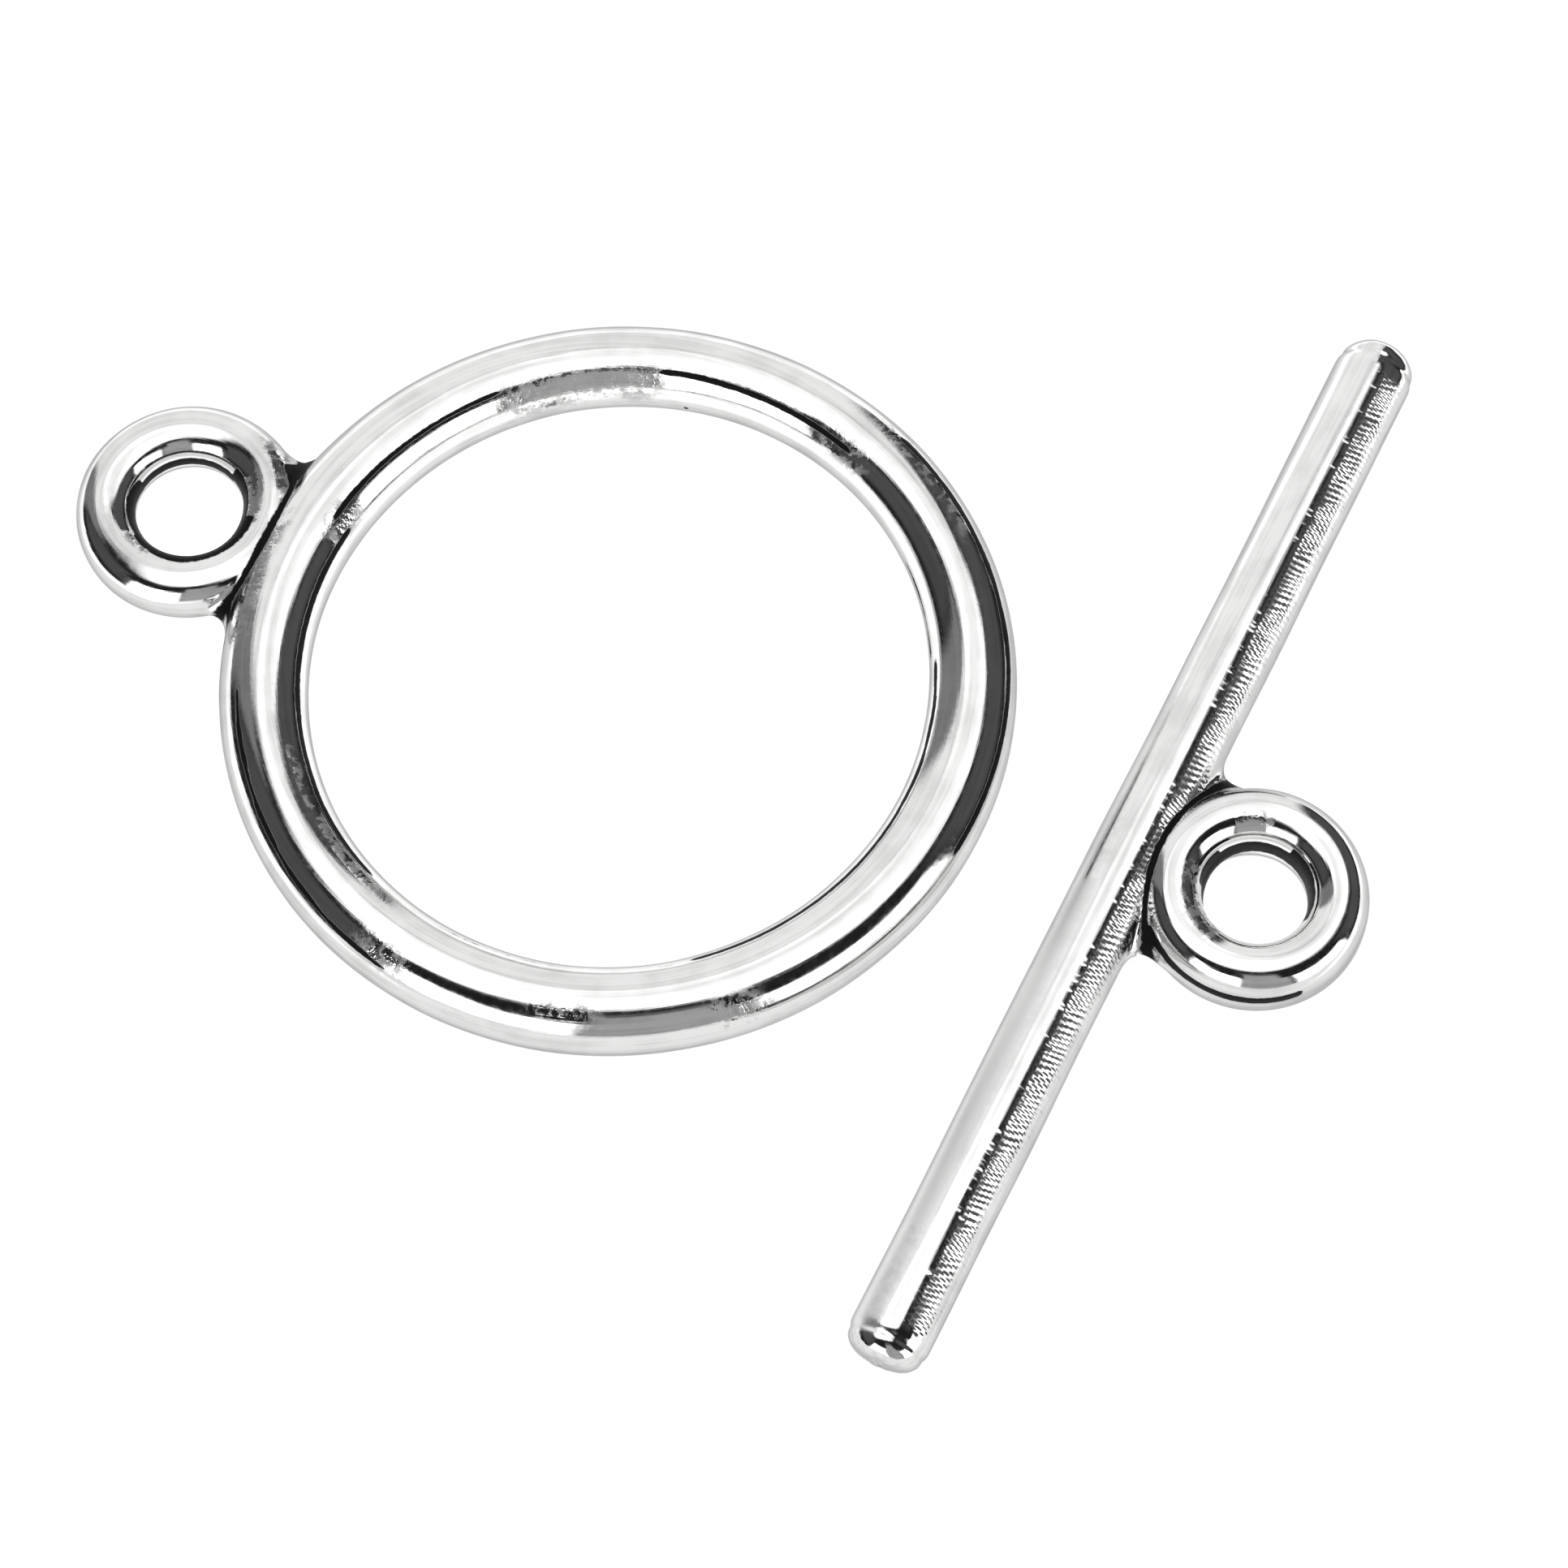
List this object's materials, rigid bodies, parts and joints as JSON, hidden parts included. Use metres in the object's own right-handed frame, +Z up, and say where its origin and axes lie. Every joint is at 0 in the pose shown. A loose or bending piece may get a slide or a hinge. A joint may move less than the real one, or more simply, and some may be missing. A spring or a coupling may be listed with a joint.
{
  "type": "toggle clasp",
  "caption": "Toggle clasp for jewellery: a round-wire ring with a small eye on its rim, and a straight round bar with a small eye at its middle.",
  "frame": {"origin": "middle of the plan outline of both halves, on the surface they lie on", "axes": "+Z up from the surface; +X to the right and +Y away from a viewer who sees the ring on the left and the bar on the right"},
  "size_m": [0.026, 0.0212, 0.0016],
  "materials": {
    "antique_silver": "polished silver plate, darkened in the creases"
  },
  "bodies": {
    "root": {"toggle_ring": "antique_silver", "toggle_bar": "antique_silver"}
  },
  "joints": []
}
